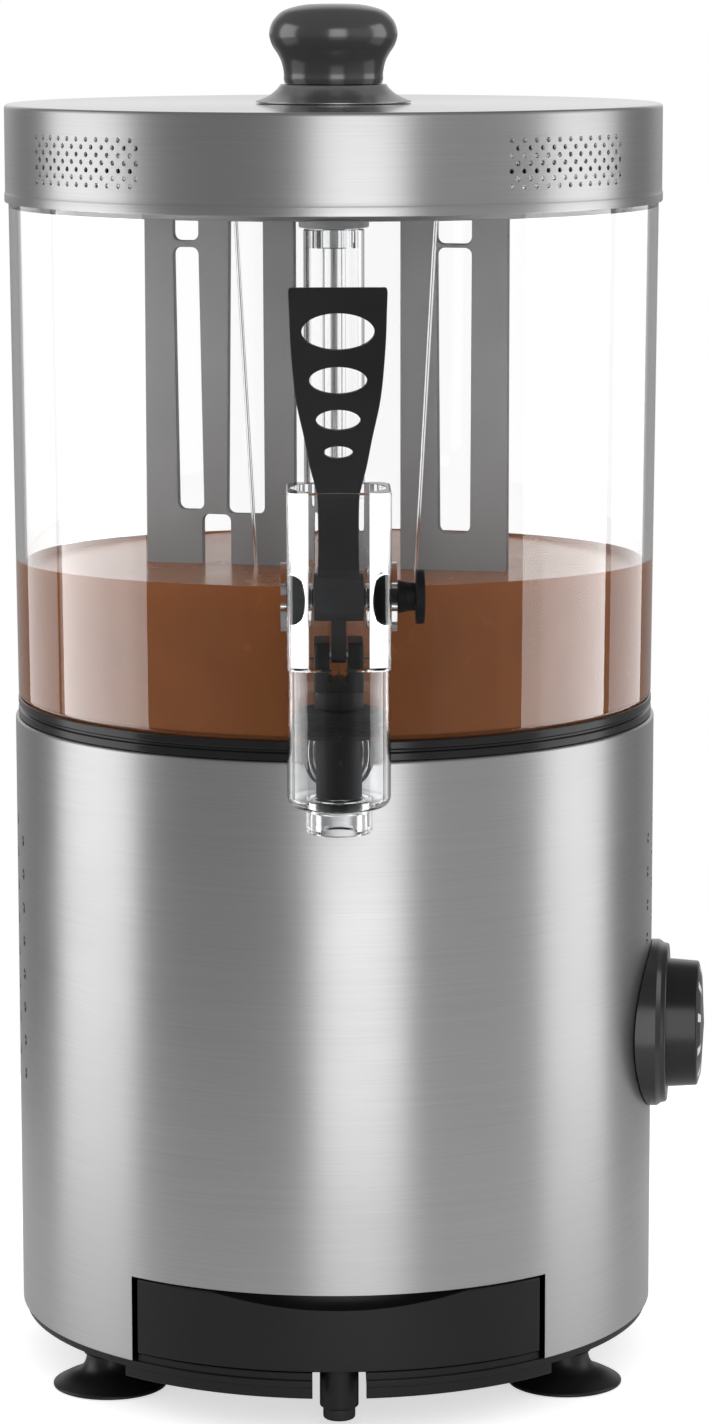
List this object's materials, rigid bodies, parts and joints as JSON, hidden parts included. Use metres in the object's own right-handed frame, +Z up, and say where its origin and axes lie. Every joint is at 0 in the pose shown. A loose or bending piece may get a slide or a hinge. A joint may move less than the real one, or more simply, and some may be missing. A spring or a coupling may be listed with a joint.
{
  "type": "drink dispenser",
  "caption": "Heated drink dispenser with a round steel base, clear stirred bowl, lever tap, side dial, pull-out drip tray and knobbed lid.",
  "frame": {"origin": "the point on the table under the axis of the round body, level with the rims of the four feet", "axes": "+Z up along the body axis, -Y to the front where the tap is, +X to the side of the dial"},
  "size_m": [0.2402, 0.2632, 0.4676],
  "materials": {
    "shell_steel": "vertically banded brushed sheet",
    "bright_steel": "bright",
    "plated_steel": "zinc plated",
    "black_plastic": "fine satin",
    "grey_plastic": "satin",
    "white_plastic": "satin",
    "clear_plastic": "clear polycarbonate",
    "brass": "turned",
    "black_rubber": "matt",
    "drink": "thick opaque liquid"
  },
  "bodies": {
    "base": {"chassis_pan": "black_plastic", "foot_front_left": "black_rubber", "foot_front_right": "black_rubber", "foot_rear_left": "black_rubber", "foot_rear_right": "black_rubber", "outer_shell": "shell_steel", "base_gasket": "black_rubber", "support_post_rear": "plated_steel", "support_post_left": "plated_steel", "support_post_right": "plated_steel", "deck_plate": "plated_steel", "bath_tank": "bright_steel", "heating_element": "plated_steel", "safety_cutout": "black_plastic", "thermostat_bulb": "brass", "terminal_block": "white_plastic", "gearbox_housing": "plated_steel", "gearbox_cover": "plated_steel", "lower_shaft_bush": "brass", "upper_shaft_bush": "brass", "motor_body": "plated_steel", "dial_bezel": "black_plastic", "thermostat_body": "plated_steel", "heater_switch_frame": "black_plastic", "mixer_switch_frame": "black_plastic", "power_inlet": "black_plastic"},
    "bowl_unit": {"bowl": "clear_plastic", "drink_charge": "drink", "column_bush": "white_plastic", "tap_body": "clear_plastic", "tap_inlet_seal": "black_rubber", "pivot_pin": "black_plastic", "pivot_spacer_left": "clear_plastic", "pivot_spacer_right": "clear_plastic"},
    "lid": {"lid_cover": "shell_steel", "lid_seal_ring": "black_rubber", "lid_collar": "plated_steel", "lid_knob": "black_plastic", "knob_screw": "bright_steel"},
    "stirrer": {"stirrer_hub": "grey_plastic", "stirrer_paddle_left": "grey_plastic", "stirrer_paddle_right": "grey_plastic", "stirrer_bottom_ring": "grey_plastic", "stirrer_wire_left": "bright_steel", "stirrer_wire_right": "bright_steel"},
    "drive": {"drive_shaft": "bright_steel", "drive_gear": "white_plastic"},
    "pinion": {"motor_pinion": "brass"},
    "lever": {"tap_lever": "black_plastic", "lever_cam_pin": "bright_steel"},
    "piston": {"tap_piston": "black_plastic", "piston_seal": "black_rubber"},
    "tray": {"drip_tray": "black_plastic", "drip_grid": "black_plastic", "tray_drain_plug": "black_rubber"},
    "dial": {"dial_knob": "black_plastic", "thermostat_shaft": "bright_steel"},
    "heater_rocker": {"heater_switch_rocker": "black_plastic"},
    "mixer_rocker": {"mixer_switch_rocker": "black_plastic"}
  },
  "joints": [
    {"name": "bowl_lift", "type": "slide", "parent": "base", "child": "bowl_unit", "axis": [0, 0, 1], "range_m": [0, 0.19]},
    {"name": "lid_lift", "type": "slide", "parent": "bowl_unit", "child": "lid", "axis": [0, 0, 1], "range_m": [0, 0.06]},
    {"name": "drive_spin", "type": "hinge", "parent": "base", "child": "drive", "pos_m": [0, 0, 0.137], "axis": [0, 0, 1], "continuous": true},
    {"name": "pinion_spin", "type": "hinge", "parent": "base", "child": "pinion", "pos_m": [-0.027, 0, 0.137], "axis": [0, 0, 1], "continuous": true},
    {"name": "stirrer_spin", "type": "hinge", "parent": "bowl_unit", "child": "stirrer", "pos_m": [0, 0, 0.404], "axis": [0, 0, 1], "continuous": true},
    {"name": "lever_swing", "type": "hinge", "parent": "bowl_unit", "child": "lever", "pos_m": [0, -0.132, 0.2837], "axis": [1, 0, 0], "range_deg": [0, 22]},
    {"name": "piston_lift", "type": "slide", "parent": "bowl_unit", "child": "piston", "axis": [0, 0, 1], "range_m": [0, 0.005]},
    {"name": "tray_slide", "type": "slide", "parent": "base", "child": "tray", "axis": [0, -1, 0], "range_m": [0, 0.11]},
    {"name": "dial_turn", "type": "hinge", "parent": "base", "child": "dial", "pos_m": [0.10929, -0.01245, 0.1182], "axis": [0.9936, -0.1132, 0], "range_deg": [-270, 0]},
    {"name": "heater_rock", "type": "hinge", "parent": "base", "child": "heater_rocker", "pos_m": [-0.0191, 0.10833, 0.092], "axis": [-0.9848, -0.1736, 0], "range_deg": [-18, 0]},
    {"name": "mixer_rock", "type": "hinge", "parent": "base", "child": "mixer_rocker", "pos_m": [0.0191, 0.10833, 0.092], "axis": [-0.9848, 0.1736, 0], "range_deg": [-18, 0]}
  ],
  "couplings": [
    {"joint": "pinion_spin", "follows": "drive_spin", "ratio": -4},
    {"joint": "stirrer_spin", "follows": "drive_spin", "ratio": 1},
    {"joint": "piston_lift", "follows": "lever_swing", "m_per_rad": 0.01302}
  ]
}
